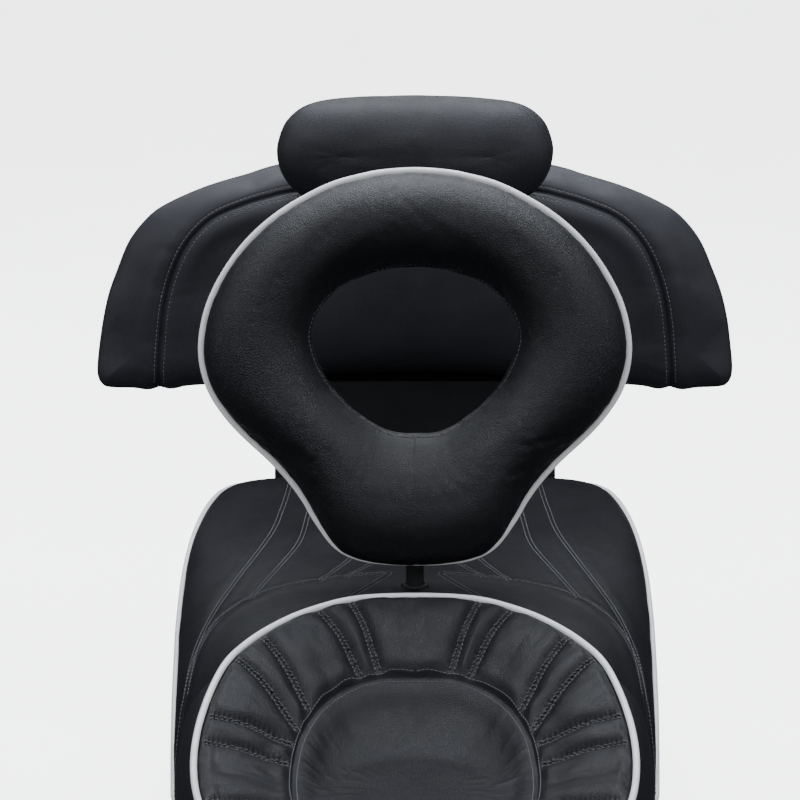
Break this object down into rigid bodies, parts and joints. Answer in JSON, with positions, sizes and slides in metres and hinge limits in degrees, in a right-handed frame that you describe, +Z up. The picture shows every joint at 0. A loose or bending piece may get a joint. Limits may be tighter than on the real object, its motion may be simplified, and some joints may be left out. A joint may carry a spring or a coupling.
{
  "type": "motorcycle seat",
  "caption": "Two-up touring saddle with a tilting, lift-out rider backrest and a padded passenger backrest with head bolster on a tube carrier.",
  "frame": {"origin": "centre of the four frame bolt holes, on the underside of the frame bracket's feet", "axes": "+Z up, -Y towards the front of the motorcycle, X across; the seat is symmetric about the YZ plane apart from the hinge hardware"},
  "size_m": [0.5767, 0.9685, 0.538],
  "materials": {
    "black_leather": "grained black leather, semi-matt",
    "silver_piping": "pearl silver welt cord",
    "foam": "moulded polyurethane foam",
    "pan_plastic": "moulded polypropylene, textured",
    "shell_plastic": "moulded ABS, fine texture",
    "knob_plastic": "phenolic black",
    "black_rubber": "matt",
    "black_steel": "satin black powder coat",
    "zinc_hardware": "zinc plated",
    "spring_steel": "bright spring wire"
  },
  "bodies": {
    "saddle": {"base_pan": "pan_plastic", "frame_bracket": "black_steel", "receiver_tube": "black_steel", "receiver_bolts": "zinc_hardware", "receiver_nuts": "zinc_hardware", "plunger_barrel": "zinc_hardware", "plunger_spring": "spring_steel", "front_tongue": "black_steel", "tongue_bolts": "zinc_hardware", "seat_bumpers": "black_rubber", "saddle_foam": "foam", "rider_cover": "black_leather", "rider_piping": "silver_piping", "bridge_band": "black_leather", "bridge_panel": "black_leather", "passenger_cover": "black_leather", "passenger_piping": "silver_piping", "side_skirt": "black_leather", "post_grommet": "black_rubber", "passenger_back_center": "black_leather", "passenger_back_border": "black_leather", "passenger_back_foam": "foam", "back_board": "shell_plastic", "rear_shell": "shell_plastic", "back_screws": "zinc_hardware", "carrier_hoop": "black_steel", "carrier_bolts": "zinc_hardware", "lower_shroud": "shell_plastic", "headrest_cover": "black_leather", "headrest_foam": "foam", "headrest_board": "shell_plastic", "headrest_bracket": "black_steel", "headrest_screws": "zinc_hardware"},
    "post": {"post": "black_steel"},
    "backrest": {"backrest_frame": "black_steel", "backrest_foam": "foam", "backrest_cover": "black_leather", "backrest_piping": "silver_piping", "backrest_back_shell": "shell_plastic", "shell_screws": "zinc_hardware", "hinge_bolt": "zinc_hardware", "hinge_washer": "zinc_hardware"},
    "clamp_knob": {"clamp_knob": "knob_plastic"},
    "plunger": {"plunger_pin": "zinc_hardware", "plunger_knob": "knob_plastic"}
  },
  "joints": [
    {"name": "post_lift", "type": "slide", "parent": "saddle", "child": "post", "axis": [0, 0, 1], "range_m": [0, 0.135]},
    {"name": "backrest_tilt", "type": "hinge", "parent": "post", "child": "backrest", "pos_m": [0, 0, 0.24], "axis": [1, 0, 0], "range_deg": [-12, 10]},
    {"name": "clamp_turn", "type": "hinge", "parent": "backrest", "child": "clamp_knob", "pos_m": [0.02, 0, 0.24], "axis": [1, 0, 0], "range_deg": [0, 330]},
    {"name": "plunger_pull", "type": "slide", "parent": "saddle", "child": "plunger", "axis": [0, 1, 0], "range_m": [0, 0.005], "stiffness_N_per_m": 600, "springref_m": -0.003, "deforming": ["plunger_spring"]}
  ]
}
